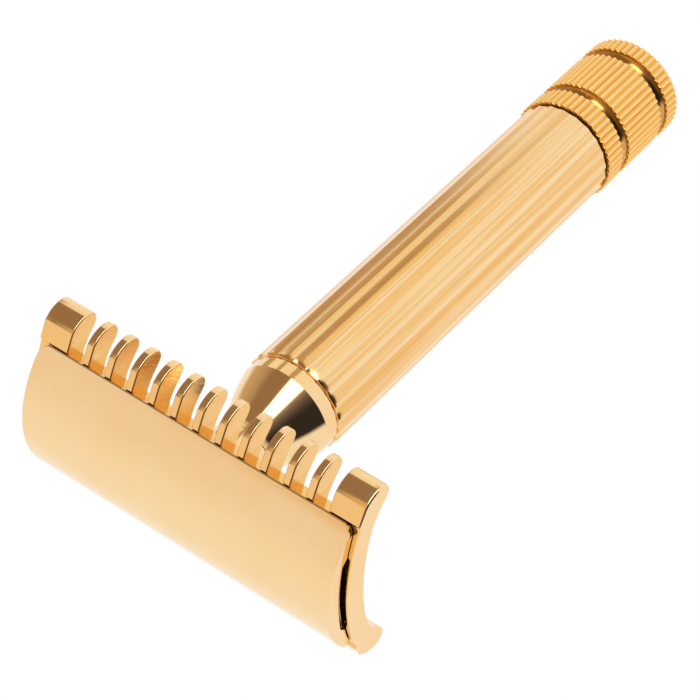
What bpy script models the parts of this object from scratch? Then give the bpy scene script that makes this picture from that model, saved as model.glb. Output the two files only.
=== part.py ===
"""Three-piece open-comb safety razor, standing on its pommel.

Metres, +Z up. The handle's axis is the Z axis and the pommel's flat end is at z = 0.
+X runs along the head, and the comb's teeth point to +Y and -Y.
"""

import math

import bmesh
import bpy

MM = 0.001

# Head: the cap just covers a standard double-edge blade.
CAP_LENGTH = 43.0 * MM
CAP_HALF_WIDTH = 10.25 * MM
CAP_TOP_Z = 91.68 * MM
CAP_EDGE_Z = 87.33 * MM
CAP_EDGE_THICKNESS = 0.25 * MM
CAP_CORNER_RADIUS = 1.3 * MM
CAP_RECESS_HALF_WIDTH = 5.3 * MM
CAP_RECESS_DEPTH = 0.25 * MM
CAP_RAMP_WIDTH = 0.7 * MM

# Blade: bowed between the cap's lips and the comb.
BLADE_LENGTH = 42.8 * MM
BLADE_THICKNESS = 0.1 * MM
BLADE_HALF_WIDTH = 9.85 * MM
BLADE_BOW_RADIUS = 27.0 * MM
BLADE_TOP_Z = 88.95 * MM
BLADE_CLEARANCE = 0.12 * MM
BLADE_NOTCH_LENGTH = 2.8 * MM
BLADE_TAB_HALF_WIDTH = 7.0 * MM
BLADE_SLOT_HALF_LENGTH = 16.8 * MM
BLADE_SLOT_HALF_WIDTH = 1.2 * MM

# Comb: a bowed plate with a rounded nose along both sides, cut into teeth.
COMB_LENGTH = 44.4 * MM
COMB_BOTTOM_Z = 85.95 * MM
COMB_BOTTOM_BOW_RADIUS = 27.5 * MM
COMB_HOLLOW_HALF_WIDTH = 6.41 * MM
COMB_TOP_HALF_WIDTH = 10.0 * MM
COMB_FACET_START = (10.45 * MM, 86.85 * MM)
COMB_CREASE_Y = 12.35 * MM
NOSE_CENTRE = (11.9 * MM, 83.6 * MM)
NOSE_DEPTH = 1.5 * MM
NOSE_UPPER_HEIGHT = 2.58 * MM
NOSE_LOWER_HEIGHT = 1.58 * MM
# Underside between the nose and the hollow, as (y, z).
COMB_UNDERSIDE = ((11.45 * MM, 82.17 * MM), (10.95 * MM, 82.55 * MM), (10.4 * MM, 83.1 * MM),
                  (9.5 * MM, 83.85 * MM), (8.6 * MM, 84.4 * MM), (7.5 * MM, 84.9 * MM))
SLOT_COUNT = 12
SLOT_PITCH = 3.10 * MM
SLOT_WIDTH = 2.10 * MM
SLOT_ROOT_Y = 8.22 * MM
SLOT_ROOT_Z = 84.6 * MM
SLOT_ROOT_LEAN = 1 / 3

# Stud and pins that hang from the cap.
STUD_RADIUS = 2.5 * MM
STUD_BOTTOM_Z = 77.6 * MM
STUD_TOP_Z = 90.1 * MM
PIN_RADIUS = 1.5 * MM
PIN_X = 13.4 * MM
PIN_BOTTOM_Z = 86.1 * MM
PIN_TOP_Z = 89.7 * MM
END_CHAMFER = 0.35 * MM
SEAT_GAP = 0.3 * MM
PASSAGE_GAP = 0.5 * MM

# Handle: neck, fluted barrel and knurled pommel.
NECK_TOP_Z = 85.35 * MM
NECK_STEM_RADIUS = 4.0 * MM
COLLAR_RADIUS = 6.26 * MM
COLLAR_BOTTOM_Z = 70.05 * MM
COLLAR_TOP_Z = 71.72 * MM
# The neck's flare above the collar, as (radius, z).
NECK_FLARE = ((6.06 * MM, 72.6 * MM), (5.65 * MM, 73.8 * MM), (5.15 * MM, 74.95 * MM),
              (4.74 * MM, 75.9 * MM), (4.33 * MM, 77.1 * MM), (NECK_STEM_RADIUS, 78.4 * MM))
NECK_BORE_BOTTOM_Z = 76.6 * MM
SPIGOT_RADIUS = 4.9 * MM
NECK_SPIGOT_LENGTH = 9.5 * MM
POMMEL_SPIGOT_LENGTH = 9.0 * MM

BARREL_BOTTOM_Z = 15.87 * MM
BARREL_TOP_Z = 69.8 * MM
BARREL_RADIUS = 6.65 * MM
FLUTE_COUNT = 22
FLUTE_DEPTH = 0.28 * MM
FLUTE_STEPS = 5
FLUTE_PHASE_DEGREES = 10.7

POMMEL_RADIUS = 6.95 * MM
KNURL_COUNT = 49
KNURL_DEPTH = 0.3 * MM
KNURL_PHASE_DEGREES = 0.0
# Top and bottom of each knurled band, from the barrel down.
POMMEL_BANDS = ((15.57 * MM, 12.49 * MM), (11.12 * MM, 3.81 * MM), (2.39 * MM, 0.0))
POMMEL_EDGE_CHAMFER = 0.25 * MM
GROOVE_SHOULDER_RADIUS = 6.5 * MM
GROOVE_DEPTH = 0.5 * MM
GROOVE_STEPS = 4

ROUND_STEPS = 48
ARC_STEPS = 24
NOSE_STEPS = 10
CUT_MARGIN = 1.0 * MM


def clear_scene():
    for existing in list(bpy.data.objects):
        bpy.data.objects.remove(existing)


# Materials

def metal(name, colour, roughness):
    material = bpy.data.materials.new(name)
    material.use_nodes = True
    shader = material.node_tree.nodes["Principled BSDF"]
    shader.inputs["Base Color"].default_value = (*colour, 1.0)
    shader.inputs["Metallic"].default_value = 1.0
    shader.inputs["Roughness"].default_value = roughness
    return material


# Mesh helpers

def add_object(name, mesh_builder, material):
    mesh = bpy.data.meshes.new(name)
    mesh_builder.to_mesh(mesh)
    mesh_builder.free()
    piece = bpy.data.objects.new(name, mesh)
    bpy.context.scene.collection.objects.link(piece)
    if material:
        mesh.materials.append(material)
    return piece


def loft(rings, closed=False):
    """Skin rings of equal length; the ends are capped unless the rings close on themselves."""
    mesh_builder = bmesh.new()
    loops = [[mesh_builder.verts.new(point) for point in ring] for ring in rings]
    pairs = list(zip(loops, loops[1:]))
    if closed:
        pairs.append((loops[-1], loops[0]))
    for lower, upper in pairs:
        for index, vertex in enumerate(lower):
            following = (index + 1) % len(lower)
            mesh_builder.faces.new((vertex, lower[following], upper[following], upper[index]))
    if not closed:
        mesh_builder.faces.new(list(reversed(loops[0])))
        mesh_builder.faces.new(loops[-1])
    bmesh.ops.recalc_face_normals(mesh_builder, faces=mesh_builder.faces)
    return mesh_builder


def ring(radius, z, steps=ROUND_STEPS, centre_x=0.0):
    angles = [math.tau * step / steps for step in range(steps)]
    return [(centre_x + radius * math.cos(angle), radius * math.sin(angle), z) for angle in angles]


def turned(profile, steps=ROUND_STEPS, centre_x=0.0):
    return loft([ring(radius, z, steps, centre_x) for radius, z in profile])


def prism_along_x(outline, x_low, x_high):
    return loft([[(x, y, z) for y, z in outline] for x in (x_low, x_high)])


def prism_along_z(outline, z_low, z_high):
    return loft([[(x, y, z) for x, y in outline] for z in (z_low, z_high)])


def merged(mesh_builders):
    """Gather separate closed shapes into one mesh."""
    gathered = bmesh.new()
    for mesh_builder in mesh_builders:
        scratch = bpy.data.meshes.new("scratch")
        mesh_builder.to_mesh(scratch)
        mesh_builder.free()
        gathered.from_mesh(scratch)
        bpy.data.meshes.remove(scratch)
    return gathered


def cut(piece, mesh_builder, name):
    cutter = add_object(f"{piece.name}_{name}_cutter", mesh_builder, None)
    cutter.hide_render = True
    cutter.display_type = "WIRE"
    modifier = piece.modifiers.new(name, "BOOLEAN")
    modifier.operation = "DIFFERENCE"
    modifier.solver = "EXACT"
    modifier.object = cutter


def smooth(piece, sharp_degrees=30):
    piece.data.shade_smooth()
    piece.data.set_sharp_from_angle(angle=math.radians(sharp_degrees))
    return piece


def arc_height(radius, top_z, y):
    """Height at y of an arc that is bowed over the X axis and peaks at top_z."""
    return top_z - radius + math.sqrt(radius ** 2 - y ** 2)


def spread(start, end, steps):
    return [start + (end - start) * step / steps for step in range(steps + 1)]


def bow(radius, top_z, y_start, y_end, steps=ARC_STEPS):
    return [(y, arc_height(radius, top_z, y)) for y in spread(y_start, y_end, steps)]


def mirrored(half_outline):
    """Close a half outline that runs from the middle of the top to the middle of the bottom."""
    return half_outline + [(-y, z) for y, z in reversed(half_outline[1:-1])]


# Head

def make_cap_shell(material):
    rise = CAP_TOP_Z - CAP_EDGE_Z
    crown_radius = (CAP_HALF_WIDTH ** 2 + rise ** 2) / (2 * rise)
    edge_slope = math.asin(CAP_HALF_WIDTH / crown_radius)
    lip_y = CAP_HALF_WIDTH - CAP_EDGE_THICKNESS * math.sin(edge_slope)
    lip_offset = BLADE_THICKNESS / 2 + BLADE_CLEARANCE
    lip_radius = BLADE_BOW_RADIUS + lip_offset
    lip_top_z = BLADE_TOP_Z + lip_offset
    ramp_y = CAP_RECESS_HALF_WIDTH + CAP_RAMP_WIDTH
    crown = bow(crown_radius, CAP_TOP_Z, 0.0, CAP_HALF_WIDTH, ARC_STEPS // 2)
    lip = bow(lip_radius, lip_top_z, lip_y, ramp_y, 6)
    recess = bow(lip_radius, lip_top_z + CAP_RECESS_DEPTH, CAP_RECESS_HALF_WIDTH, 0.0, 8)
    section = mirrored(crown + lip + recess)
    shell = add_object("cap_shell", prism_along_x(section, -CAP_LENGTH / 2, CAP_LENGTH / 2), material)
    corners = [corner_cutter(side_x, side_y) for side_x in (-1, 1) for side_y in (-1, 1)]
    cut(shell, merged(corners), "corners")
    sockets = [socket_cutter(STUD_RADIUS, STUD_TOP_Z, ROUND_STEPS, 0.0)]
    for centre_x in (-PIN_X, PIN_X):
        sockets.append(socket_cutter(PIN_RADIUS, PIN_TOP_Z, ROUND_STEPS // 2, centre_x))
    cut(shell, merged(sockets), "sockets")
    return smooth(shell)


def socket_cutter(radius, top_z, steps, centre_x):
    """Blind hole under the cap that takes the top of the stud or of a pin."""
    socket_radius = radius + SEAT_GAP
    profile = ((socket_radius, BLADE_TOP_Z - CUT_MARGIN), (socket_radius, top_z + SEAT_GAP))
    return turned(profile, steps, centre_x)


def corner_cutter(side_x, side_y):
    """What is left outside a rounded corner of the cap, seen from above."""
    centre_x = CAP_LENGTH / 2 - CAP_CORNER_RADIUS
    centre_y = CAP_HALF_WIDTH - CAP_CORNER_RADIUS
    outer_x = CAP_LENGTH / 2 + CUT_MARGIN
    outer_y = CAP_HALF_WIDTH + CUT_MARGIN
    arc = []
    for degrees in spread(5, 85, 8):
        angle = math.radians(degrees)
        arc.append((centre_x + CAP_CORNER_RADIUS * math.cos(angle),
                    centre_y + CAP_CORNER_RADIUS * math.sin(angle)))
    outline = arc + [(arc[-1][0], outer_y), (outer_x, outer_y), (outer_x, arc[0][1])]
    z_low = CAP_EDGE_Z - CUT_MARGIN
    return prism_along_z([(side_x * x, side_y * y) for x, y in outline], z_low, CAP_TOP_Z)


def make_cap_stud(material):
    profile = ((STUD_RADIUS - END_CHAMFER, STUD_BOTTOM_Z), (STUD_RADIUS, STUD_BOTTOM_Z + END_CHAMFER),
               (STUD_RADIUS, STUD_TOP_Z))
    return smooth(add_object("cap_stud", turned(profile), material))


def make_alignment_pin(name, centre_x, material):
    height = PIN_TOP_Z - PIN_BOTTOM_Z
    profile = ((PIN_RADIUS - END_CHAMFER, 0.0), (PIN_RADIUS, END_CHAMFER), (PIN_RADIUS, height))
    pin = add_object(name, turned(profile, ROUND_STEPS // 2), material)
    pin.location = (centre_x, 0.0, PIN_BOTTOM_Z)
    return smooth(pin)


def make_blade(material):
    half = BLADE_THICKNESS / 2
    upper = bow(BLADE_BOW_RADIUS + half, BLADE_TOP_Z + half, -BLADE_HALF_WIDTH, BLADE_HALF_WIDTH)
    lower = bow(BLADE_BOW_RADIUS - half, BLADE_TOP_Z - half, BLADE_HALF_WIDTH, -BLADE_HALF_WIDTH)
    sheet = prism_along_x(upper + lower, -BLADE_LENGTH / 2, BLADE_LENGTH / 2)
    blade = add_object("blade", sheet, material)
    z_low = upper[0][1] - CUT_MARGIN
    z_high = BLADE_TOP_Z + CUT_MARGIN
    shapes = [rectangle_cutter(0.0, 0.0, BLADE_SLOT_HALF_LENGTH, BLADE_SLOT_HALF_WIDTH, z_low, z_high)]
    notch_half_x = BLADE_NOTCH_LENGTH + CUT_MARGIN
    notch_half_y = BLADE_HALF_WIDTH + CUT_MARGIN - BLADE_TAB_HALF_WIDTH
    for side_x in (-1, 1):
        for side_y in (-1, 1):
            notch_x = side_x * (BLADE_LENGTH / 2 + CUT_MARGIN)
            notch_y = side_y * (BLADE_HALF_WIDTH + CUT_MARGIN)
            shapes.append(rectangle_cutter(notch_x, notch_y, notch_half_x, notch_half_y, z_low, z_high))
    cut(blade, merged(shapes), "slot_and_notches")
    cut(blade, passages(z_low, z_high), "holes")
    return smooth(blade)


def rectangle_cutter(centre_x, centre_y, half_x, half_y, z_low, z_high):
    corners = ((-1, -1), (1, -1), (1, 1), (-1, 1))
    outline = [(centre_x + half_x * x, centre_y + half_y * y) for x, y in corners]
    return prism_along_z(outline, z_low, z_high)


def passages(z_low, z_high):
    """Holes for the stud and the two alignment pins."""
    stud_radius = STUD_RADIUS + PASSAGE_GAP
    pin_radius = PIN_RADIUS + PASSAGE_GAP
    shapes = [turned(((stud_radius, z_low), (stud_radius, z_high)))]
    for centre_x in (-PIN_X, PIN_X):
        shapes.append(turned(((pin_radius, z_low), (pin_radius, z_high)), ROUND_STEPS // 2, centre_x))
    return merged(shapes)


def nose():
    """Rounded outer edge of the comb, from the crease round to its lowest point."""
    centre_y, centre_z = NOSE_CENTRE
    crease_angle = math.acos((COMB_CREASE_Y - centre_y) / NOSE_DEPTH)
    points = []
    for angle in spread(crease_angle, -math.pi / 2, NOSE_STEPS):
        height = NOSE_UPPER_HEIGHT if angle > 0 else NOSE_LOWER_HEIGHT
        points.append((centre_y + NOSE_DEPTH * math.cos(angle), centre_z + height * math.sin(angle)))
    return points


def make_comb_plate(material):
    seat_offset = BLADE_THICKNESS / 2 + BLADE_CLEARANCE
    top = bow(BLADE_BOW_RADIUS - seat_offset, BLADE_TOP_Z - seat_offset,
              0.0, COMB_TOP_HALF_WIDTH, ARC_STEPS // 2)
    hollow = bow(COMB_BOTTOM_BOW_RADIUS, COMB_BOTTOM_Z, COMB_HOLLOW_HALF_WIDTH, 0.0, 6)
    outline = mirrored(top + [COMB_FACET_START] + nose() + list(COMB_UNDERSIDE) + hollow)
    comb = add_object("comb_plate", prism_along_x(outline, -COMB_LENGTH / 2, COMB_LENGTH / 2), material)
    slots = []
    for index in range(SLOT_COUNT):
        centre_x = (index - (SLOT_COUNT - 1) / 2) * SLOT_PITCH
        slots += [slot_cutter(centre_x, side_y) for side_y in (-1, 1)]
    cut(comb, merged(slots), "slots")
    cut(comb, passages(COMB_BOTTOM_Z - CUT_MARGIN, BLADE_TOP_Z + CUT_MARGIN), "holes")
    return smooth(comb)


def slot_cutter(centre_x, side_y):
    """One gap between teeth; its root leans outward on the way up."""
    z_low = NOSE_CENTRE[1] - NOSE_LOWER_HEIGHT - CUT_MARGIN
    z_high = BLADE_TOP_Z
    outer_y = NOSE_CENTRE[0] + NOSE_DEPTH + CUT_MARGIN
    root_low = SLOT_ROOT_Y + SLOT_ROOT_LEAN * (z_low - SLOT_ROOT_Z)
    root_high = SLOT_ROOT_Y + SLOT_ROOT_LEAN * (z_high - SLOT_ROOT_Z)
    outline = ((root_low, z_low), (outer_y, z_low), (outer_y, z_high), (root_high, z_high))
    mirrored_outline = [(side_y * y, z) for y, z in outline]
    return prism_along_x(mirrored_outline, centre_x - SLOT_WIDTH / 2, centre_x + SLOT_WIDTH / 2)


# Handle

def make_neck(material):
    bore_radius = STUD_RADIUS + SEAT_GAP
    profile = [(SPIGOT_RADIUS, COLLAR_BOTTOM_Z - NECK_SPIGOT_LENGTH), (SPIGOT_RADIUS, COLLAR_BOTTOM_Z),
               (COLLAR_RADIUS, COLLAR_BOTTOM_Z), (COLLAR_RADIUS, COLLAR_TOP_Z), *NECK_FLARE,
               (NECK_STEM_RADIUS, NECK_TOP_Z), (bore_radius, NECK_TOP_Z), (bore_radius, NECK_BORE_BOTTOM_Z)]
    return smooth(add_object("neck", turned(profile, ROUND_STEPS), material))


def fluted_ring(z):
    """One turn of the barrel's outline: shallow scallops that meet in crisp ridges."""
    points = []
    for flute in range(FLUTE_COUNT):
        for step in range(FLUTE_STEPS):
            across = step / FLUTE_STEPS
            radius = BARREL_RADIUS - FLUTE_DEPTH * 4 * across * (1 - across)
            angle = math.radians(FLUTE_PHASE_DEGREES) + math.tau * (flute + across) / FLUTE_COUNT
            points.append((radius * math.cos(angle), radius * math.sin(angle), z))
    return points


def make_barrel(material):
    bore_radius = SPIGOT_RADIUS + SEAT_GAP
    steps = FLUTE_COUNT * FLUTE_STEPS
    rings = [fluted_ring(BARREL_BOTTOM_Z), fluted_ring(BARREL_TOP_Z), ring(bore_radius, BARREL_TOP_Z, steps),
             ring(bore_radius, BARREL_BOTTOM_Z, steps)]
    return smooth(add_object("barrel", loft(rings, closed=True), material), 15)


def knurled_ring(z, inset=0.0):
    steps = 2 * KNURL_COUNT
    points = []
    for step in range(steps):
        radius = POMMEL_RADIUS - inset - (KNURL_DEPTH if step % 2 else 0.0)
        angle = math.radians(KNURL_PHASE_DEGREES) + math.tau * step / steps
        points.append((radius * math.cos(angle), radius * math.sin(angle), z))
    return points


def groove_rings(z_top, z_bottom):
    """A polished half-round groove between two knurled bands."""
    rings = []
    for step in range(GROOVE_STEPS + 1):
        across = step / GROOVE_STEPS
        radius = GROOVE_SHOULDER_RADIUS - GROOVE_DEPTH * math.sin(math.pi * across)
        rings.append(ring(radius, z_top + (z_bottom - z_top) * across, 2 * KNURL_COUNT))
    return rings


def make_pommel(material):
    top_z = POMMEL_BANDS[0][0]
    steps = 2 * KNURL_COUNT
    rings = [ring(SPIGOT_RADIUS, top_z + POMMEL_SPIGOT_LENGTH, steps), ring(SPIGOT_RADIUS, top_z, steps)]
    for index, (band_top, band_bottom) in enumerate(POMMEL_BANDS):
        last = index == len(POMMEL_BANDS) - 1
        chamfer = POMMEL_EDGE_CHAMFER if last else 0.0
        rings += [knurled_ring(band_top), knurled_ring(band_bottom + chamfer)]
        if last:
            rings.append(knurled_ring(band_bottom, chamfer))
        else:
            rings += groove_rings(band_bottom, POMMEL_BANDS[index + 1][0])
    return smooth(add_object("pommel", loft(rings), material), 20)


def main():
    clear_scene()
    make_cap_shell(metal("cap_gold", (0.94, 0.72, 0.44), 0.12))
    make_cap_stud(metal("stud_gold", (0.92, 0.68, 0.38), 0.3))
    make_alignment_pin("alignment_pin_left", -PIN_X, metal("pin_gold_left", (0.92, 0.68, 0.38), 0.3))
    make_alignment_pin("alignment_pin_right", PIN_X, metal("pin_gold_right", (0.92, 0.68, 0.38), 0.3))
    make_blade(metal("blade_steel", (0.62, 0.63, 0.65), 0.22))
    make_comb_plate(metal("comb_gold", (0.93, 0.70, 0.40), 0.2))
    make_neck(metal("neck_gold", (0.94, 0.72, 0.44), 0.1))
    make_barrel(metal("barrel_gold", (0.94, 0.72, 0.44), 0.15))
    make_pommel(metal("pommel_gold", (0.92, 0.66, 0.34), 0.22))


main()
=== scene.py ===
import math

import bmesh
import bpy
from mathutils import Matrix, Vector


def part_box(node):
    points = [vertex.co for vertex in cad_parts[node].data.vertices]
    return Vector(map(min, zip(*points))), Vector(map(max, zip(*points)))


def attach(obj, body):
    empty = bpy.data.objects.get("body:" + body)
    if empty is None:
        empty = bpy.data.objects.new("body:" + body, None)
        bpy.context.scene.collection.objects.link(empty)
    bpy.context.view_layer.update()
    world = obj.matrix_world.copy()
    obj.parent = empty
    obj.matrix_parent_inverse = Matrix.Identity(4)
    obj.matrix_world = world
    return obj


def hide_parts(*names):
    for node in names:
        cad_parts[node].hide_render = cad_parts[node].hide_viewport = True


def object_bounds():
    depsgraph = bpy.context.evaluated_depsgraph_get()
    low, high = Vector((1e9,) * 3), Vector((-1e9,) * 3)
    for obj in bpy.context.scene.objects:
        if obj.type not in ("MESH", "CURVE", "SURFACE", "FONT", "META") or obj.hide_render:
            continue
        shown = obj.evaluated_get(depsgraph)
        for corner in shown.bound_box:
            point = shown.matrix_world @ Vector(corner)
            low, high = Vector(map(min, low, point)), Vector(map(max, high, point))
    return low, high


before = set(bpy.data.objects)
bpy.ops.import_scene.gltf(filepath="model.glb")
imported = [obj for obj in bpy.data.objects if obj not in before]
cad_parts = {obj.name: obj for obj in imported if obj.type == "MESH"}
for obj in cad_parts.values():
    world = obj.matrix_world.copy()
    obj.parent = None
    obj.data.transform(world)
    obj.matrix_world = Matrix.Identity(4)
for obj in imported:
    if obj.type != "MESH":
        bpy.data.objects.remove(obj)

MM = 0.001
CAD_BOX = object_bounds()

# Camera: the photograph's viewing angle, in the row frame.
CAMERA_PLACE = Vector((125.05, 222.14, 230.90)) * MM
CAMERA_RIGHT = Vector((0.79531, 0.02009, -0.60587))
CAMERA_UP = Vector((-0.44939, 0.69033, -0.56701))
CAMERA_LENS = 136.85
SENSOR_WIDTH = 36.0

# Head
CAP_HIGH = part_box("cap_shell")[1]
COMB_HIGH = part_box("comb_plate")[1]
CAP_HALF_LENGTH = CAP_HIGH.x
CAP_HALF_WIDTH = CAP_HIGH.y
CAP_TOP_Z = CAP_HIGH.z
CAP_EDGE_Z = 87.33 * MM
CAP_EDGE_THICKNESS = 0.25 * MM
CAP_CORNER_RADIUS = 1.3 * MM
CAP_RECESS_HALF_WIDTH = 5.3 * MM
CAP_RAMP_WIDTH = 0.7 * MM
CAP_RECESS_DEPTH = 0.6 * MM
CAP_EDGE_EASE = 0.12 * MM
CAP_EASED_FROM_DEGREES = 35
CAP_EASE_SEGMENTS = 5
STUD_SOCKET_TOP_Z = 90.1 * MM
PIN_SOCKET_TOP_Z = 89.7 * MM
BLADE_BOW_RADIUS = 27.0 * MM
BLADE_TOP_Z = 88.95 * MM
BLADE_THICKNESS = 0.1 * MM
BLADE_END_INSET = 0.4 * MM
BLADE_GRIND_WIDTH = 0.7 * MM
BLADE_EDGE_HALF_THICKNESS = 0.004 * MM
BLADE_SLOT_HALF_LENGTH = 16.8 * MM
BLADE_SLOT_HALF_WIDTH = 1.2 * MM
BLADE_NOTCH_LENGTH = 2.8 * MM
BLADE_TAB_HALF_WIDTH = 7.0 * MM
SEAT_CLEARANCE = 0.02 * MM

COMB_HALF_LENGTH = COMB_HIGH.x
COMB_BOTTOM_Z = 85.95 * MM
COMB_BOTTOM_BOW_RADIUS = 27.5 * MM
COMB_HOLLOW_HALF_WIDTH = 6.41 * MM
COMB_SEAT_HALF_WIDTH = 9.93 * MM
COMB_FACET_START = (10.30 * MM, 87.12 * MM)
# From the crease round the nose and in under the teeth, as (y, z) in mm.
COMB_NOSE = ((12.35, 86.08), (12.9, 85.4), (13.22, 84.7), (13.37, 84.0), (13.38, 83.35), (13.2, 82.75),
             (12.75, 82.25), (12.1, 82.02), (11.5, 82.15), (10.95, 82.55), (10.4, 83.1), (9.5, 83.85),
             (8.6, 84.4))
SLOT_COUNT = 12
SLOT_PITCH = 3.10 * MM
SLOT_WIDTH = 2.10 * MM
SLOT_ROOT_TOP_Y = 9.30 * MM
SLOT_ROOT_BOTTOM = (8.22 * MM, 84.62 * MM)
TOOTH_EDGE_RADIUS = 0.17 * MM
COMB_END_RADIUS = 0.27 * MM
COMB_SMOOTH_DEGREES = 24
EDGE_STEPS = 5

STUD_RADIUS = 2.5 * MM
THREAD_PITCH = 0.8 * MM
THREAD_DEPTH = 0.43 * MM
THREAD_FLAT = 0.12
STUD_PLAIN_LENGTH = 2.2 * MM
STUD_STEPS = 48
LEVELS_PER_PITCH = 16
STUD_SMOOTH_DEGREES = 40
ROOT_GAP = 0.05 * MM
PIN_RADIUS = 1.5 * MM
PIN_X = 13.4 * MM
PIN_CHAMFER = 0.3 * MM
PIN_EASE = 0.04 * MM
END_CHAMFER = 0.35 * MM
PASSAGE_GAP = 0.5 * MM
PIN_PASSAGE_GAP = 0.1 * MM
HOLE_STEPS = 96
PIN_STEPS = 64

# Handle
NECK_TOP_Z = 85.62 * MM
NECK_STEM_RADIUS = 4.0 * MM
COLLAR_RADIUS = 6.26 * MM
COLLAR_BOTTOM_Z = 69.95 * MM
COLLAR_TOP_Z = 71.72 * MM
NECK_FLARE = ((5.62, 73.8), (5.15, 74.95), (4.74, 75.9), (4.33, 77.1), (4.08, 78.1))
NECK_STEM_START_Z = 79.4 * MM
NECK_BORE_BOTTOM_Z = 76.6 * MM
NECK_BORE_GAP = 0.05 * MM
NECK_EASE = 0.05 * MM
NECK_EASED_FROM_DEGREES = 25
NECK_SMOOTH_DEGREES = 8
NECK_STEPS = 192
SPIGOT_RADIUS = 4.9 * MM
BARREL_BORE_RADIUS = 5.0 * MM

BARREL_BOTTOM_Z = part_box("barrel")[0].z
BARREL_TOP_Z = 69.93 * MM
BARREL_RADIUS = 6.65 * MM
FLUTE_COUNT = 22
FLUTE_DEPTH = 0.12 * MM
FLUTE_END_DEPTH = 0.18 * MM
FLUTE_PHASE_DEGREES = 10.7
FLUTE_STEPS = 14
FLUTE_RIDGE_WEAR = 0.012 * MM
FLUTE_RIDGE_WIDTH = 0.05    # as a share of a flute
BARREL_FOOT_EASE = 0.06 * MM
BARREL_TOP_EASE = 0.28 * MM
RIM_STEPS = 6
# How far inside a rim the flutes come to their full length, as a share of the rim's ease and in mm.
RIM_RUN_IN = 1.6
RIM_RUN_ON = (0.5 * MM, 1.2 * MM)
BARREL_SMOOTH_DEGREES = 34

POMMEL_RADIUS = 6.95 * MM
KNURL_COUNT = 49
KNURL_DEPTH = 0.23 * MM
KNURL_STEPS = 8
KNURL_SHARPNESS = 0.75
POMMEL_EASE = 0.07 * MM
POMMEL_SMOOTH_DEGREES = 38
GROOVE_STEPS = 14
POMMEL_BANDS = ((15.57, 12.49), (11.12, 3.81), (2.39, 0.0))
GROOVE_SHOULDER_RADIUS = 6.5 * MM
GROOVE_DEPTH = 0.5 * MM


# Mesh helpers

def add_object(name, mesh_builder):
    mesh = bpy.data.meshes.new(name)
    mesh_builder.to_mesh(mesh)
    mesh_builder.free()
    piece = bpy.data.objects.new(name, mesh)
    bpy.context.scene.collection.objects.link(piece)
    return piece


def loft(rings, closed=False):
    """Skin rings of equal length; the ends are capped unless the rings close on themselves."""
    mesh_builder = bmesh.new()
    loops = [[mesh_builder.verts.new(point) for point in ring_points] for ring_points in rings]
    pairs = list(zip(loops, loops[1:]))
    if closed:
        pairs.append((loops[-1], loops[0]))
    for lower, upper in pairs:
        for index, vertex in enumerate(lower):
            following = (index + 1) % len(lower)
            mesh_builder.faces.new((vertex, lower[following], upper[following], upper[index]))
    if not closed:
        mesh_builder.faces.new(list(reversed(loops[0])))
        mesh_builder.faces.new(loops[-1])
    bmesh.ops.recalc_face_normals(mesh_builder, faces=mesh_builder.faces)
    return mesh_builder


def ring(radius, z, steps, centre_x=0.0):
    angles = [math.tau * step / steps for step in range(steps)]
    return [(centre_x + radius * math.cos(angle), radius * math.sin(angle), z) for angle in angles]


def turned(profile, steps, centre_x=0.0):
    return loft([ring(radius, z, steps, centre_x) for radius, z in profile])


def prism_along_z(outline, z_low, z_high):
    return loft([[(x, y, z) for x, y in outline] for z in (z_low, z_high)])


def merged(mesh_builders):
    gathered = bmesh.new()
    for mesh_builder in mesh_builders:
        scratch = bpy.data.meshes.new("scratch")
        mesh_builder.to_mesh(scratch)
        mesh_builder.free()
        gathered.from_mesh(scratch)
        bpy.data.meshes.remove(scratch)
    return gathered


def apply_modifiers(piece):
    graph = bpy.context.evaluated_depsgraph_get()
    finished = bpy.data.meshes.new_from_object(piece.evaluated_get(graph))
    piece.modifiers.clear()
    piece.data = finished
    return piece


def cut(piece, mesh_builder):
    cutter = add_object("cutter", mesh_builder)
    modifier = piece.modifiers.new("cut", "BOOLEAN")
    modifier.operation = "DIFFERENCE"
    modifier.solver = "EXACT"
    modifier.object = cutter
    apply_modifiers(piece)
    bpy.data.objects.remove(cutter)
    return piece


def ease_edges(piece, width, sharp_degrees=30, segments=3):
    """Round every sharp edge a little, so that it catches the light as a polished edge does."""
    modifier = piece.modifiers.new("eased_edges", "BEVEL")
    modifier.width = width
    modifier.segments = segments
    modifier.limit_method = "ANGLE"
    modifier.angle_limit = math.radians(sharp_degrees)
    modifier.use_clamp_overlap = True
    modifier.harden_normals = False
    apply_modifiers(piece)
    return piece


def smooth(piece, sharp_degrees=32):
    """Smooth shading that the large faces dominate, so that narrow eased edges do not bend them."""
    piece.data.shade_smooth()
    piece.data.set_sharp_from_angle(angle=math.radians(sharp_degrees))
    modifier = piece.modifiers.new("weighted", "WEIGHTED_NORMAL")
    modifier.mode = "FACE_AREA"
    modifier.weight = 50
    modifier.keep_sharp = True
    return apply_modifiers(piece)


def spread(start, end, steps):
    return [start + (end - start) * step / steps for step in range(steps + 1)]


def arc_height(radius, top_z, y):
    return top_z - radius + math.sqrt(radius ** 2 - y ** 2)


def bow(radius, top_z, y_start, y_end, steps):
    return [(y, arc_height(radius, top_z, y)) for y in spread(y_start, y_end, steps)]


def mirrored(half_outline):
    """Close a half outline that runs from the middle of the top to the middle of the bottom."""
    return half_outline + [(-y, z) for y, z in reversed(half_outline[1:-1])]


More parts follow.
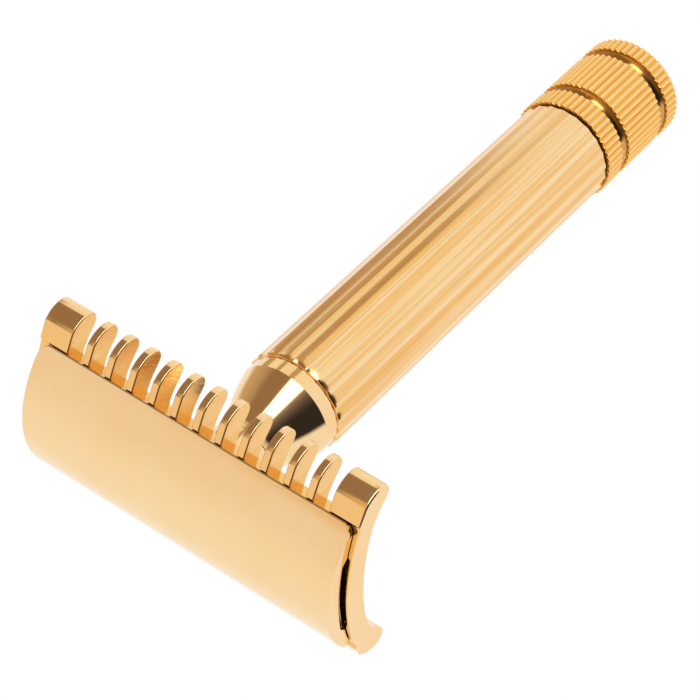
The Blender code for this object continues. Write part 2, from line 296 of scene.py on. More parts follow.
def rounded_path(points, steps=8):
    """A smooth curve through the points, as a Catmull-Rom spline."""
    padded = [points[0], *points, points[-1]]
    path = []
    for before, start, end, after in zip(padded, padded[1:], padded[2:], padded[3:]):
        for step in range(steps):
            t = step / steps
            path.append(tuple(
                0.5 * (2 * b + (c - a) * t + (2 * a - 5 * b + 4 * c - d) * t ** 2
                       + (3 * b - a - 3 * c + d) * t ** 3)
                for a, b, c, d in zip(before, start, end, after)))
    path.append(tuple(points[-1]))
    return path


# Head

def cap_section(half_width):
    """The cap's outline across the head, cut off at half_width, as (y, z)."""
    rise = CAP_TOP_Z - CAP_EDGE_Z
    crown_radius = (CAP_HALF_WIDTH ** 2 + rise ** 2) / (2 * rise)
    slope = math.asin(half_width / crown_radius)
    lip_y = half_width - CAP_EDGE_THICKNESS * math.sin(slope)
    lip_offset = BLADE_THICKNESS / 2 + SEAT_CLEARANCE
    lip_radius = BLADE_BOW_RADIUS + lip_offset
    lip_top_z = BLADE_TOP_Z + lip_offset
    crown = bow(crown_radius, CAP_TOP_Z, 0.0, half_width, 40)
    lip = bow(lip_radius, lip_top_z, lip_y, CAP_RECESS_HALF_WIDTH + CAP_RAMP_WIDTH, 12)
    recess = bow(lip_radius, lip_top_z + CAP_RECESS_DEPTH, CAP_RECESS_HALF_WIDTH, 0.0, 16)
    return mirrored(crown + lip + recess)


def make_cap():
    stations = []
    inner_x = CAP_HALF_LENGTH - CAP_CORNER_RADIUS
    inner_y = CAP_HALF_WIDTH - CAP_CORNER_RADIUS
    for degrees in spread(0, 90, 14):
        angle = math.radians(degrees)
        stations.append((inner_x + CAP_CORNER_RADIUS * math.sin(angle),
                         inner_y + CAP_CORNER_RADIUS * math.cos(angle)))
    rings = []
    for x, half_width in [(-x, w) for x, w in reversed(stations)] + stations:
        rings.append([(x, y, z) for y, z in cap_section(half_width)])
    cap = add_object("cap_dome", loft(rings))
    sockets = [turned(((STUD_RADIUS, BLADE_TOP_Z - MM), (STUD_RADIUS, STUD_SOCKET_TOP_Z)), HOLE_STEPS)]
    for centre_x in (-PIN_X, PIN_X):
        profile = ((PIN_RADIUS, BLADE_TOP_Z - MM), (PIN_RADIUS, PIN_SOCKET_TOP_Z))
        sockets.append(turned(profile, PIN_STEPS, centre_x))
    cut(cap, merged(sockets))
    ease_edges(cap, CAP_EDGE_EASE, CAP_EASED_FROM_DEGREES, CAP_EASE_SEGMENTS)
    return smooth(cap)


def inset_outline(outline, depth, first, last):
    """Draw the vertices between first and last in towards the metal by depth."""
    moved = list(outline)
    count = len(outline)
    for index in range(first, last + 1):
        before = outline[(index - 1) % count]
        after = outline[(index + 1) % count]
        along_y = after[0] - before[0]
        along_z = after[1] - before[1]
        length = math.hypot(along_y, along_z)
        y, z = outline[index % count]
        moved[index % count] = (y + along_z / length * depth, z - along_y / length * depth)
    return moved


def rounded_wall(outline, wall_x, outward, radius, spans):
    """Loops from the full outline to the flat of a wall, round an edge of the given radius."""
    loops = []
    for angle in spread(0.0, math.pi / 2, EDGE_STEPS):
        depth = radius * (1 - math.cos(angle))
        x = wall_x - outward * radius * (1 - math.sin(angle))
        moved = outline
        for first, last in spans:
            moved = inset_outline(moved, depth, first, last)
        loops.append([(x, y, z) for y, z in moved])
    return loops if outward > 0 else list(reversed(loops))


def make_comb():
    """Strips along the head; every tooth is a strip with rounded edges and two side walls."""
    seat_offset = BLADE_THICKNESS / 2 + SEAT_CLEARANCE
    seat = (BLADE_BOW_RADIUS - seat_offset, BLADE_TOP_Z - seat_offset)
    inner_top = bow(*seat, 0.0, SLOT_ROOT_TOP_Y, 24)
    outer_top = bow(*seat, SLOT_ROOT_TOP_Y, COMB_SEAT_HALF_WIDTH, 4)[1:]
    nose = rounded_path([(y * MM, z * MM) for y, z in COMB_NOSE])[:-1]
    nose = [(min(y, COMB_HIGH.y), z) for y, z in nose]
    outer = outer_top + [COMB_FACET_START] + nose
    inner_low = [SLOT_ROOT_BOTTOM]
    inner_low += bow(COMB_BOTTOM_BOW_RADIUS, COMB_BOTTOM_Z, COMB_HOLLOW_HALF_WIDTH, 0.0, 16)
    outline = mirrored(inner_top + outer + inner_low)
    count = len(outline)
    root_top = len(inner_top) - 1
    root_low = root_top + len(outer) + 1
    sides = ((root_top, root_low), (count - root_low, count - root_top))
    teeth = [(low + 1, high - 1) for low, high in sides]
    walls = []
    for index in range(SLOT_COUNT):
        centre = (index - (SLOT_COUNT - 1) / 2) * SLOT_PITCH
        walls += [centre - SLOT_WIDTH / 2, centre + SLOT_WIDTH / 2]
    whole = [(0, count - 1)]
    strips = []
    for low_x, high_x in zip([-COMB_HALF_LENGTH] + walls[1::2], walls[0::2] + [COMB_HALF_LENGTH]):
        at_left_end = low_x == -COMB_HALF_LENGTH
        at_right_end = high_x == COMB_HALF_LENGTH
        left = rounded_wall(outline, low_x, -1, COMB_END_RADIUS if at_left_end else TOOTH_EDGE_RADIUS,
                            whole if at_left_end else teeth)
        right = rounded_wall(outline, high_x, 1, COMB_END_RADIUS if at_right_end else TOOTH_EDGE_RADIUS,
                             whole if at_right_end else teeth)
        strips.append(left + right)

    mesh_builder = bmesh.new()
    made = [[[mesh_builder.verts.new(point) for point in loop] for loop in strip] for strip in strips]
    for strip in made:
        for left, right in zip(strip, strip[1:]):
            for index in range(count):
                following = (index + 1) % count
                mesh_builder.faces.new((left[index], left[following], right[following], right[index]))
    for before, after in zip(made, made[1:]):
        left = before[-1]
        right = after[0]
        for index in range(count):
            if not any(low <= index < high for low, high in sides):
                following = (index + 1) % count
                mesh_builder.faces.new((left[index], left[following], right[following], right[index]))
        for low, high in sides:
            mesh_builder.faces.new((left[low], left[high % count], right[high % count], right[low]))
            mesh_builder.faces.new([left[index % count] for index in range(low, high + 1)])
            mesh_builder.faces.new([right[index % count] for index in range(low, high + 1)])
    mesh_builder.faces.new(made[0][0])
    mesh_builder.faces.new(made[-1][-1])
    bmesh.ops.recalc_face_normals(mesh_builder, faces=mesh_builder.faces)
    comb = add_object("comb_body", mesh_builder)
    cut(comb, passages(COMB_BOTTOM_Z - MM, BLADE_TOP_Z + MM))
    return smooth(comb, COMB_SMOOTH_DEGREES)


def passages(z_low, z_high):
    """The holes that the stud and the pins pass through."""
    stud_radius = STUD_RADIUS + PASSAGE_GAP
    pin_radius = PIN_RADIUS + PIN_PASSAGE_GAP
    shapes = [turned(((stud_radius, z_low), (stud_radius, z_high)), HOLE_STEPS)]
    for centre_x in (-PIN_X, PIN_X):
        shapes.append(turned(((pin_radius, z_low), (pin_radius, z_high)), PIN_STEPS, centre_x))
    return merged(shapes)


def make_blade():
    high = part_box("blade")[1]
    half = BLADE_THICKNESS / 2
    half_width = high.y
    flat_end = half_width - BLADE_GRIND_WIDTH
    upper = bow(BLADE_BOW_RADIUS + half, BLADE_TOP_Z + half, -flat_end, flat_end, 48)
    lower = bow(BLADE_BOW_RADIUS - half, BLADE_TOP_Z - half, flat_end, -flat_end, 48)
    tip = arc_height(BLADE_BOW_RADIUS, BLADE_TOP_Z, half_width)
    edge_top = tip + BLADE_EDGE_HALF_THICKNESS
    edge_low = tip - BLADE_EDGE_HALF_THICKNESS
    outline = upper + [(half_width, edge_top), (half_width, edge_low)] + lower
    outline += [(-half_width, edge_low), (-half_width, edge_top)]
    end_x = high.x - BLADE_END_INSET
    blade = add_object("blade_sheet", loft([[(x, y, z) for y, z in outline] for x in (-end_x, end_x)]))
    z_low = BLADE_TOP_Z - 3 * MM
    z_high = BLADE_TOP_Z + MM
    corners = ((-1, -1), (1, -1), (1, 1), (-1, 1))
    slot = [(BLADE_SLOT_HALF_LENGTH * x, BLADE_SLOT_HALF_WIDTH * y) for x, y in corners]
    shapes = [prism_along_z(slot, z_low, z_high)]
    near_x = high.x - BLADE_NOTCH_LENGTH
    far_x = high.x + MM
    near_y = BLADE_TAB_HALF_WIDTH
    far_y = high.y + MM
    notch = ((near_x, near_y), (far_x, near_y), (far_x, far_y), (near_x, far_y))
    for side_x in (-1, 1):
        for side_y in (-1, 1):
            shapes.append(prism_along_z([(side_x * x, side_y * y) for x, y in notch], z_low, z_high))
    cut(blade, merged(shapes))
    cut(blade, passages(z_low, z_high))
    return smooth(blade)


def make_stud():
    """A right-hand thread below the cap, swept as a helix, with a plain shank above it."""
    low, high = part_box("cap_stud")
    plain_z = high.z - STUD_PLAIN_LENGTH
    levels = int((plain_z - low.z) / THREAD_PITCH * LEVELS_PER_PITCH)
    rings = []
    for z in spread(low.z, plain_z, levels):
        run_in = min(1.0, (z - low.z) / THREAD_PITCH)
        points = []
        for step in range(STUD_STEPS):
            phase = ((z - low.z) / THREAD_PITCH - step / STUD_STEPS) % 1.0
            flank = min(1.0, max(0.0, (abs(2 * phase - 1) - THREAD_FLAT) / (1 - 2 * THREAD_FLAT)))
            radius = STUD_RADIUS - THREAD_DEPTH * (1 - flank) - END_CHAMFER * (1 - run_in)
            angle = math.tau * step / STUD_STEPS
            points.append((radius * math.cos(angle), radius * math.sin(angle), z))
        rings.append(points)
    rings.append(ring(STUD_RADIUS, plain_z + 0.1 * MM, STUD_STEPS))
    rings.append(ring(STUD_RADIUS, high.z - ROOT_GAP, STUD_STEPS))
    return smooth(add_object("stud_thread", loft(rings)), STUD_SMOOTH_DEGREES)


def make_pin(name, node, centre_x):
    low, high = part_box(node)
    profile = ((PIN_RADIUS - PIN_CHAMFER, low.z), (PIN_RADIUS, low.z + PIN_CHAMFER),
               (PIN_RADIUS, high.z - ROOT_GAP))
    pin = add_object(name, turned(profile, PIN_STEPS, centre_x))
    ease_edges(pin, PIN_EASE)
    return smooth(pin)


# Handle

def make_neck():
    bottom_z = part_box("neck")[0].z
    flare = rounded_path([(COLLAR_RADIUS, COLLAR_TOP_Z)] + [(r * MM, z * MM) for r, z in NECK_FLARE]
                         + [(NECK_STEM_RADIUS, NECK_STEM_START_Z)])
    bore = STUD_RADIUS + NECK_BORE_GAP
    profile = [(SPIGOT_RADIUS, bottom_z), (SPIGOT_RADIUS, COLLAR_BOTTOM_Z), (COLLAR_RADIUS, COLLAR_BOTTOM_Z),
               *flare, (NECK_STEM_RADIUS, NECK_TOP_Z), (bore, NECK_TOP_Z), (bore, NECK_BORE_BOTTOM_Z)]
    neck = add_object("neck_turning", turned(profile, NECK_STEPS))
    ease_edges(neck, NECK_EASE, NECK_EASED_FROM_DEGREES)
    return smooth(neck, NECK_SMOOTH_DEGREES)


def fluted_ring(z, inset, depth):
    """One turn of the barrel: shallow scallops whose ridges are worn just round."""
    points = []
    for flute in range(FLUTE_COUNT):
        for step in range(FLUTE_STEPS):
            across = step / FLUTE_STEPS
            hollow = 4 * across * (1 - across)
            ridge = math.exp(-((min(across, 1 - across) / FLUTE_RIDGE_WIDTH) ** 2))
            radius = BARREL_RADIUS - inset - depth * hollow - FLUTE_RIDGE_WEAR * ridge
            angle = math.radians(FLUTE_PHASE_DEGREES) + math.tau * (flute + across) / FLUTE_COUNT
            points.append((radius * math.cos(angle), radius * math.sin(angle), z))
    return points


def make_barrel():
    """Both rims are eased; rings just inside them keep the long flutes straight in the light."""
    steps = FLUTE_COUNT * FLUTE_STEPS
    rings = []
    rims = ((BARREL_BOTTOM_Z, 1, BARREL_FOOT_EASE, FLUTE_DEPTH),
            (BARREL_TOP_Z, -1, BARREL_TOP_EASE, FLUTE_END_DEPTH))
    for end_z, inward, ease, depth in rims:
        rim = [fluted_ring(end_z + inward * ease * (1 - math.sin(angle)), ease * (1 - math.cos(angle)), depth)
               for angle in spread(math.pi / 2, 0.0, RIM_STEPS)]
        rim.append(fluted_ring(end_z + inward * RIM_RUN_IN * ease, 0.0, (depth + FLUTE_DEPTH) / 2))
        for run_on in RIM_RUN_ON:
            rim.append(fluted_ring(end_z + inward * (ease + run_on), 0.0, FLUTE_DEPTH))
        rings += rim if inward > 0 else reversed(rim)
    rings += [ring(BARREL_BORE_RADIUS, z, steps) for z in (BARREL_TOP_Z, BARREL_BOTTOM_Z)]
    return smooth(add_object("barrel_fluted", loft(rings, closed=True)), BARREL_SMOOTH_DEGREES)


def knurled_ring(z, inset=0.0):
    """One turn of the knurl: round crests with narrower valleys between them."""
    points = []
    for step in range(KNURL_STEPS * KNURL_COUNT):
        across = (step % KNURL_STEPS) / KNURL_STEPS
        height = 0.5 + 0.5 * math.cos(math.tau * across)
        radius = POMMEL_RADIUS - inset - KNURL_DEPTH * (1 - height ** KNURL_SHARPNESS)
        angle = math.tau * step / (KNURL_STEPS * KNURL_COUNT)
        points.append((radius * math.cos(angle), radius * math.sin(angle), z))
    return points


def make_pommel():
    steps = KNURL_STEPS * KNURL_COUNT
    spigot_top_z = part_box("pommel")[1].z
    ease = POMMEL_EASE
    rings = [ring(SPIGOT_RADIUS, spigot_top_z, steps), ring(SPIGOT_RADIUS, POMMEL_BANDS[0][0] * MM, steps)]
    for index, (band_top, band_bottom) in enumerate(POMMEL_BANDS):
        band_top *= MM
        band_bottom *= MM
        rings += [knurled_ring(band_top, ease), knurled_ring(band_top - ease, 0.0),
                  knurled_ring(band_bottom + ease, 0.0), knurled_ring(band_bottom, ease)]
        if index < len(POMMEL_BANDS) - 1:
            groove_low = POMMEL_BANDS[index + 1][0] * MM
            for across in spread(0.0, 1.0, GROOVE_STEPS):
                radius = GROOVE_SHOULDER_RADIUS - GROOVE_DEPTH * math.sin(math.pi * across)
                rings.append(ring(radius, band_bottom + (groove_low - band_bottom) * across, steps))
    return smooth(add_object("pommel_knurled", loft(rings)), POMMEL_SMOOTH_DEGREES)


# Node helpers

def add_node(tree, kind, inputs=None, **settings):
    """Add a node; an input may be a value or another node's socket."""
    made = tree.nodes.new(kind)
    for key, value in settings.items():
        setattr(made, key, value)
    for key, value in (inputs or {}).items():
        if isinstance(value, bpy.types.NodeSocket):
            tree.links.new(value, made.inputs[key])
        else:
            made.inputs[key].default_value = value
    return made


def calculate(tree, operation, *values):
    return add_node(tree, "ShaderNodeMath", dict(enumerate(values)), operation=operation).outputs[0]


def ramp_mask(tree, value, low, high):
    """0 below low, 1 above high, eased between them; low may be the greater."""
    inputs = {"Value": value, "From Min": low, "From Max": high}
    return add_node(tree, "ShaderNodeMapRange", inputs, interpolation_type="SMOOTHSTEP").outputs["Result"]


def blend(tree, factor, first, second):
    node = add_node(tree, "ShaderNodeMix", {0: factor, 6: first, 7: second}, data_type="RGBA")
    return node.outputs[2]


def noise(tree, vector, scale, detail=2.0, roughness=0.5):
    inputs = {"Vector": vector, "Scale": scale, "Detail": detail, "Roughness": roughness}
    return add_node(tree, "ShaderNodeTexNoise", inputs).outputs[0]


def stretched(tree, vector, scale, rotation=(0.0, 0.0, 0.0)):
    inputs = {"Vector": vector, "Scale": scale, "Rotation": rotation}
    return add_node(tree, "ShaderNodeMapping", inputs, vector_type="TEXTURE").outputs[0]


def opaque(colour):
    return (*colour, 1.0)


# Materials

GOLD = (0.93, 0.665, 0.36)
WARM_GOLD = (0.93, 0.57, 0.20)
DEEP_GOLD = (0.88, 0.44, 0.10)
STEEL = (0.60, 0.61, 0.63)
WORN_EDGE = (0.97, 0.78, 0.52)
CAP_RIM_PAINTED_SHADE = (0.25, 0.16, 0.06)
UPWARD_FACE_TINT = (0.93, 0.53, 0.15)
BRUSHED_GOLD = (0.9, 0.55, 0.2)
SLOT_ROOT_PAINTED_SHADE = (0.88, 0.49, 0.11)
FLUTE_HOLLOW_PAINTED_SHADE = (0.88, 0.52, 0.18)
PALE_STREAK = (0.97, 0.74, 0.45)
DEEP_STREAK = (0.8, 0.44, 0.12)
POMMEL_GOLD = (0.92, 0.5, 0.12)
VALLEY_PAINTED_SHADE = (0.85, 0.41, 0.06)
CREST_PAINTED_HIGHLIGHT = (0.97, 0.7, 0.38)
CREST_WEAR = (0.97, 0.66, 0.27)
GROOVE_PAINTED_SHADE = (0.5, 0.28, 0.1)
DULL_STEEL = (0.52, 0.52, 0.54)
GROUND_STEEL = (0.78, 0.79, 0.81)
BUMP_DEPTH = 0.01 * MM


class Finish:
    """A plated or ground metal surface, built up from grain, cloudiness and worn edges."""

    def __init__(self, name, colour, deep_colour, roughness):
        self.material = bpy.data.materials.new(name)
        self.material.use_nodes = True
        self.tree = self.material.node_tree
        self.shader = self.tree.nodes["Principled BSDF"]
        self.shader.inputs["Metallic"].default_value = 1.0
        coordinates = add_node(self.tree, "ShaderNodeTexCoord")
        self.place = coordinates.outputs["Object"]
        self.normal = coordinates.outputs["Normal"]
        clouds = noise(self.tree, self.place, 130.0, 3.0, 0.55)
        specks = noise(self.tree, self.place, 2600.0, 3.0, 0.6)
        cloud_mask = ramp_mask(self.tree, clouds, 0.35, 0.75)
        self.colour = blend(self.tree, calculate(self.tree, "MULTIPLY", cloud_mask, 0.22), opaque(colour),
                            opaque(deep_colour))
        rough = calculate(self.tree, "MULTIPLY_ADD", clouds, roughness * 0.5, roughness * 0.75)
        self.roughness = calculate(self.tree, "MULTIPLY_ADD", specks, 0.03, rough)
        self.height = calculate(self.tree, "MULTIPLY", specks, 0.05)

    def lines(self, scale, rotation, strength, rough_gain, mask=None):
        """Fine parallel scratches; scale is large along them and small across, in metres."""
        grain = noise(self.tree, stretched(self.tree, self.place, scale, rotation), 1.0, 1.5, 0.5)
        centred = calculate(self.tree, "SUBTRACT", grain, 0.5)
        if mask is not None:
            centred = calculate(self.tree, "MULTIPLY", centred, mask)
        self.height = calculate(self.tree, "MULTIPLY_ADD", centred, strength, self.height)
        self.roughness = calculate(self.tree, "MULTIPLY_ADD", centred, rough_gain, self.roughness)
        return grain

    def rougher(self, mask, amount):
        self.roughness = calculate(self.tree, "MULTIPLY_ADD", mask, amount, self.roughness)

    def tint(self, mask, colour, amount=None):
        if amount is not None:
            mask = calculate(self.tree, "MULTIPLY", mask, amount)
        self.colour = blend(self.tree, mask, self.colour, opaque(colour))

    def wear_edges(self, colour=WORN_EDGE, amount=0.5):
        pointiness = add_node(self.tree, "ShaderNodeNewGeometry").outputs["Pointiness"]
        edge = ramp_mask(self.tree, pointiness, 0.53, 0.62)
        worn = calculate(self.tree, "MULTIPLY", edge, amount)
        self.tint(worn, colour)
        self.rougher(worn, 0.1)

    def axis(self, vector, name):
        return add_node(self.tree, "ShaderNodeSeparateXYZ", {0: vector}).outputs[name]

    def distance_from(self, name):
        """Distance from the middle plane across the named axis."""
        return calculate(self.tree, "ABSOLUTE", self.axis(self.place, name))

    def radius(self):
        """Distance from the handle's axis."""
        squares = [calculate(self.tree, "POWER", self.axis(self.place, name), 2.0) for name in ("X", "Y")]
        return calculate(self.tree, "SQRT", calculate(self.tree, "ADD", *squares))

    def finished(self, bump=1.0):
        inputs = {"Strength": bump, "Distance": BUMP_DEPTH, "Height": self.height}
        bumped = add_node(self.tree, "ShaderNodeBump", inputs).outputs[0]
        self.tree.links.new(bumped, self.shader.inputs["Normal"])
        self.tree.links.new(self.colour, self.shader.inputs["Base Color"])
        self.tree.links.new(self.roughness, self.shader.inputs["Roughness"])
        return self.material


def cap_finish():
    """Polished, with a painted dark line of shade along both long edges."""
    finish = Finish("cap_finish", GOLD, WARM_GOLD, 0.10)
    finish.lines((5 * MM, 0.25 * MM, 0.25 * MM), (0.0, 0.0, 0.2), 0.06, 0.03)
    finish.wear_edges(amount=0.2)
    outward = finish.distance_from("Y")
    # Painted shade: a dark line just inside each long edge of the cap.
    rim = ramp_mask(finish.tree, outward, CAP_HALF_WIDTH - 0.15 * MM, CAP_HALF_WIDTH - 0.08 * MM)
    finish.tint(rim, CAP_RIM_PAINTED_SHADE, 0.85)
    return finish.finished()


def comb_finish():
    """Polished noses, warmer facets, painted shade at the slot roots, and brushed walls between the teeth."""
    finish = Finish("comb_finish", GOLD, WARM_GOLD, 0.10)
    sideways = calculate(finish.tree, "ABSOLUTE", finish.axis(finish.normal, "X"))
    wall = ramp_mask(finish.tree, sideways, 0.75, 0.95)
    inside = ramp_mask(finish.tree, finish.distance_from("X"), COMB_HALF_LENGTH - MM,
                       COMB_HALF_LENGTH - 2 * MM)
    brushed = calculate(finish.tree, "MULTIPLY", wall, inside)
    # Faces that look up are tinted a deeper orange.
    upward = ramp_mask(finish.tree, finish.axis(finish.normal, "Z"), 0.70, 0.86)
    finish.tint(upward, UPWARD_FACE_TINT, 0.75)
    finish.tint(brushed, BRUSHED_GOLD, 0.8)
    # Painted shade: the slot roots between the teeth, in under the cap's edge, are tinted a deeper gold.
    near_root = ramp_mask(finish.tree, finish.distance_from("Y"), 10.6 * MM, 9.8 * MM)
    finish.tint(calculate(finish.tree, "MULTIPLY", near_root, inside), SLOT_ROOT_PAINTED_SHADE, 0.65)
    finish.lines((1.6 * MM, 2.2 * MM, 0.22 * MM), (0.85, 0.0, 0.0), 0.55, 0.25, brushed)
    finish.lines((4 * MM, 0.2 * MM, 0.2 * MM), (0.0, 0.0, 0.0), 0.06, 0.04)
    finish.rougher(brushed, 0.1)
    finish.wear_edges(amount=0.35)
    return finish.finished()


def neck_finish():
    """Mirror bright, with fine turned lines."""
    finish = Finish("neck_finish", GOLD, WARM_GOLD, 0.06)
    finish.lines((40 * MM, 40 * MM, 0.3 * MM), (0.0, 0.0, 0.0), 1.8, 0.05)
    finish.wear_edges(amount=0.2)
    return finish.finished()


def barrel_finish():
    """Painted shade in the hollows of the flutes, and long drawn streaks."""
    finish = Finish("barrel_finish", GOLD, WARM_GOLD, 0.09)
    # Painted shade: the hollows of the flutes are tinted a warmer, darker gold.
    hollow = ramp_mask(finish.tree, finish.radius(), BARREL_RADIUS - 0.04 * MM, BARREL_RADIUS - 0.1 * MM)
    finish.tint(hollow, FLUTE_HOLLOW_PAINTED_SHADE, 0.8)
    streaks = finish.lines((0.45 * MM, 0.45 * MM, 26 * MM), (0.0, 0.0, 0.0), 0.35, 0.05)
    finish.tint(ramp_mask(finish.tree, streaks, 0.5, 0.66), PALE_STREAK, 0.55)
    finish.tint(ramp_mask(finish.tree, streaks, 0.44, 0.3), DEEP_STREAK, 0.5)
    finish.lines((0.25 * MM, 0.25 * MM, 14 * MM), (0.0, 0.0, 0.0), 0.12, 0.08)
    finish.wear_edges(amount=0.4)
    return finish.finished()


def pommel_finish():
    """Knurled bands with painted highlights on the crests, painted shade in the valleys and grooves, and
    turned lines.
    """
    finish = Finish("pommel_finish", POMMEL_GOLD, DEEP_GOLD, 0.13)
    radius = finish.radius()
    # Painted shade: the valleys of the knurl are tinted a darker gold.
    valley = ramp_mask(finish.tree, radius, POMMEL_RADIUS - 0.25 * KNURL_DEPTH, POMMEL_RADIUS - KNURL_DEPTH)
    finish.tint(valley, VALLEY_PAINTED_SHADE, 0.85)
    # Painted highlight: the crests of the knurl are tinted paler.
    crest = ramp_mask(finish.tree, radius, POMMEL_RADIUS - 0.3 * KNURL_DEPTH,
                      POMMEL_RADIUS - 0.05 * KNURL_DEPTH)
    finish.tint(crest, CREST_PAINTED_HIGHLIGHT, 0.75)
    # Painted shade: the grooves between the bands are tinted darker.
    groove = ramp_mask(finish.tree, radius, POMMEL_RADIUS - 1.1 * KNURL_DEPTH, GROOVE_SHOULDER_RADIUS)
    finish.tint(groove, GROOVE_PAINTED_SHADE, 0.6)
    finish.lines((40 * MM, 40 * MM, 0.15 * MM), (0.0, 0.0, 0.0), 0.3, 0.06)
    shoulder = ramp_mask(finish.tree, finish.axis(finish.normal, "Z"), 0.7, 0.9)
    finish.rougher(shoulder, 0.3)
    finish.wear_edges(colour=CREST_WEAR, amount=0.8)
    return finish.finished()


def stud_finish(name):
    """Duller plating with turned lines, for the stud and the pins."""
    finish = Finish(name, WARM_GOLD, DEEP_GOLD, 0.2)
    finish.lines((40 * MM, 40 * MM, 0.1 * MM), (0.0, 0.0, 0.0), 0.2, 0.08)
    finish.wear_edges(colour=GOLD)
    return finish.finished()


def blade_finish():
    """Rolled steel with a lengthwise grain and brighter ground edges."""
    finish = Finish("blade_finish", STEEL, DULL_STEEL, 0.2)
    finish.lines((8 * MM, 0.1 * MM, 0.1 * MM), (0.0, 0.0, 0.0), 0.2, 0.12)
    ground = ramp_mask(finish.tree, finish.distance_from("Y"), 9.1 * MM, 9.2 * MM)
    finish.tint(ground, GROUND_STEEL)
    finish.lines((0.08 * MM, 2 * MM, 2 * MM), (0.0, 0.0, 0.0), 0.2, 0.15, ground)
    return finish.finished()


def finish_piece(piece, body, slot, material, *nodes):
    piece.data.materials.clear()
    piece.data.materials.append(material)
    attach(piece, body)
    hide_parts(*nodes)


def build_razor():
    pin_finish = stud_finish("pin_finish")
    finish_piece(make_cap(), "cap", "cap_gold", cap_finish(), "cap_shell")
    finish_piece(make_stud(), "cap", "stud_gold", stud_finish("stud_finish"), "cap_stud")
    for side, centre_x in (("left", -PIN_X), ("right", PIN_X)):
        node = f"alignment_pin_{side}"
        finish_piece(make_pin(f"pin_{side}", node, centre_x), "cap", "stud_gold", pin_finish, node)
    finish_piece(make_blade(), "blade", "blade_steel", blade_finish(), "blade")
    finish_piece(make_comb(), "comb", "comb_gold", comb_finish(), "comb_plate")
    finish_piece(make_neck(), "handle", "neck_gold", neck_finish(), "neck")
    finish_piece(make_barrel(), "handle", "barrel_gold", barrel_finish(), "barrel")
    finish_piece(make_pommel(), "handle", "pommel_gold", pommel_finish(), "pommel")


# Studio: a white table, and a soft room with a dark side, a bright lamp, brown bands and a brown side.

TABLE_RADIUS = 900 * MM
WHITE = (1.0, 1.0, 1.0)
COOL = (1.0, 0.95, 0.88)
DARK = (0.033, 0.03, 0.03)
BROWN = (0.33, 0.22, 0.14)
SOFT_BROWN = (0.56, 0.42, 0.27)
TAN = (0.60, 0.45, 0.29)
LAMP = (3.0, 3.0, 3.0)
# Light by azimuth in degrees, in four belts from the table up to the ceiling.
TABLEWARD = ((-180, WHITE), (-100, COOL), (-30, COOL), (20, WHITE), (180, WHITE))
LOW = ((-180, SOFT_BROWN), (-178.5, SOFT_BROWN), (-176.5, (0.97, 1.0, 1.1)), (-154, (0.97, 1.0, 1.15)),
       (-100, (1.0, 1.05, 1.2)), (-90, COOL), (-25, COOL), (10, WHITE), (95.5, (1.0, 0.97, 0.88)),
       (97.5, SOFT_BROWN), (107, SOFT_BROWN), (109, (1.0, 0.95, 0.8)), (131.5, (1.0, 0.95, 0.8)),
       (133.5, SOFT_BROWN), (141, SOFT_BROWN), (143, (1.0, 0.97, 0.85)), (163, (1.0, 0.97, 0.85)),
       (165, SOFT_BROWN), (180, SOFT_BROWN))
HORIZON = ((-180, TAN), (-165, WHITE), (-22, WHITE), (-13, DARK), (30, DARK), (42, (0.08, 0.07, 0.07)),
           (55, (0.2, 0.16, 0.15)), (64, (0.4, 0.32, 0.3)), (68, LAMP), (94, LAMP), (98, BROWN), (134, BROWN),
           (150, (0.5, 0.37, 0.24)), (170, TAN), (180, TAN))
OVERHEAD = ((-180, (0.95, 0.9, 0.88)), (-120, WHITE), (-35, WHITE), (-12, (0.1, 0.09, 0.08)),
            (60, (0.3, 0.25, 0.2)), (80, (0.6, 0.5, 0.4)), (110, (0.8, 0.58, 0.26)),
            (124, (0.84, 0.62, 0.32)), (134, (0.93, 0.87, 0.84)), (180, (0.95, 0.9, 0.88)))
# Elevations in degrees over which each belt gives way to the next one up.
BELT_EDGES = ((-40.5, -37), (-30, -20), (37, 45))


def glow(name, colour):
    material = bpy.data.materials.new(name)
    material.use_nodes = True
    shader = material.node_tree.nodes["Principled BSDF"]
    shader.inputs["Base Color"].default_value = opaque((0.0, 0.0, 0.0))
    shader.inputs["Specular IOR Level"].default_value = 0.0
    shader.inputs["Roughness"].default_value = 1.0
    shader.inputs["Emission Color"].default_value = opaque(colour)
    shader.inputs["Emission Strength"].default_value = 1.0
    return material


def make_floor():
    """The table is what the camera sees; what the metal reflects is the room."""
    mesh_builder = bmesh.new()
    bmesh.ops.create_circle(mesh_builder, cap_ends=True, segments=96, radius=TABLE_RADIUS)
    floor = add_object("floor", mesh_builder)
    floor.location.z = CAD_BOX[0][2]
    floor.data.materials.append(glow("table_white", WHITE))
    floor.visible_glossy = False
    floor.visible_diffuse = False
    floor.visible_shadow = False


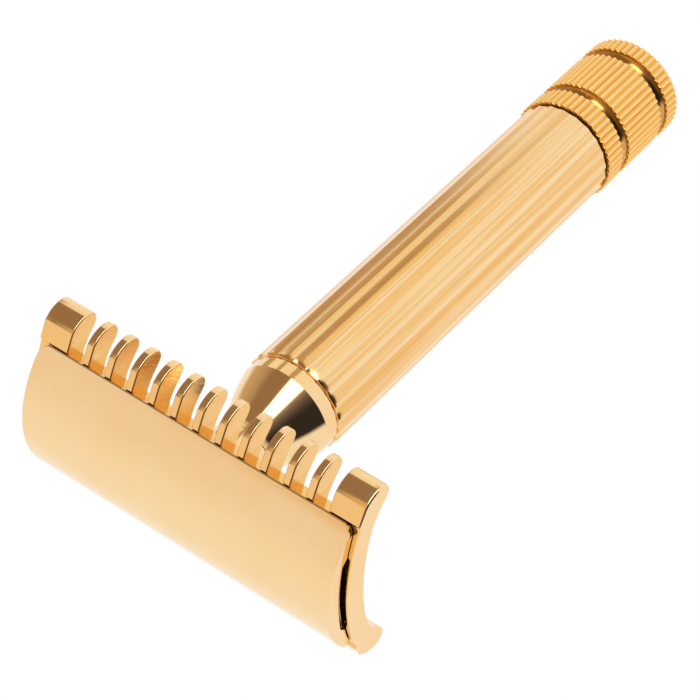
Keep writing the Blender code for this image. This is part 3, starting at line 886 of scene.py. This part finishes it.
def azimuth_ramp(tree, position, stops):
    node = add_node(tree, "ShaderNodeValToRGB", {0: position})
    elements = node.color_ramp.elements
    while len(elements) < len(stops):
        elements.new(1.0)
    for element, (degrees, light) in zip(elements, stops):
        element.position = (degrees + 180) / 360
        element.color = opaque([channel / LAMP[0] for channel in light])
    return node.outputs[0]


def make_world():
    world = bpy.data.worlds.new("studio")
    world.use_nodes = True
    tree = world.node_tree
    direction = add_node(tree, "ShaderNodeTexCoord").outputs["Generated"]
    parts = add_node(tree, "ShaderNodeSeparateXYZ", {0: direction}).outputs
    turn = calculate(tree, "ARCTAN2", parts["Y"], parts["X"])
    position = calculate(tree, "MULTIPLY_ADD", turn, 1 / math.tau, 0.5)
    elevation = calculate(tree, "ARCSINE", parts["Z"])
    light = azimuth_ramp(tree, position, TABLEWARD)
    for belt, (start, end) in zip((LOW, HORIZON, OVERHEAD), BELT_EDGES):
        above = ramp_mask(tree, elevation, math.radians(start), math.radians(end))
        light = blend(tree, above, light, azimuth_ramp(tree, position, belt))
    room = tree.nodes["Background"]
    tree.links.new(light, room.inputs["Color"])
    room.inputs["Strength"].default_value = LAMP[0]
    backdrop = add_node(tree, "ShaderNodeBackground", {"Color": opaque(WHITE), "Strength": 1.0}).outputs[0]
    seen = add_node(tree, "ShaderNodeLightPath").outputs["Is Camera Ray"]
    mixed = add_node(tree, "ShaderNodeMixShader", {0: seen, 1: room.outputs[0], 2: backdrop}).outputs[0]
    tree.links.new(mixed, tree.nodes["World Output"].inputs["Surface"])
    bpy.context.scene.world = world


def make_camera():
    camera = bpy.data.objects.new("camera", bpy.data.cameras.new("camera"))
    bpy.context.scene.collection.objects.link(camera)
    towards = CAMERA_RIGHT.cross(CAMERA_UP)
    rotation = Matrix((CAMERA_RIGHT, CAMERA_UP, towards)).transposed()
    camera.matrix_world = Matrix.Translation(CAMERA_PLACE) @ rotation.to_4x4()
    camera.data.lens = CAMERA_LENS
    camera.data.sensor_width = SENSOR_WIDTH
    camera.data.clip_start = 0.01
    camera.data.clip_end = 20.0
    bpy.context.scene.camera = camera


build_razor()
make_floor()
make_world()
make_camera()
bpy.context.scene.view_settings.view_transform = "Standard"
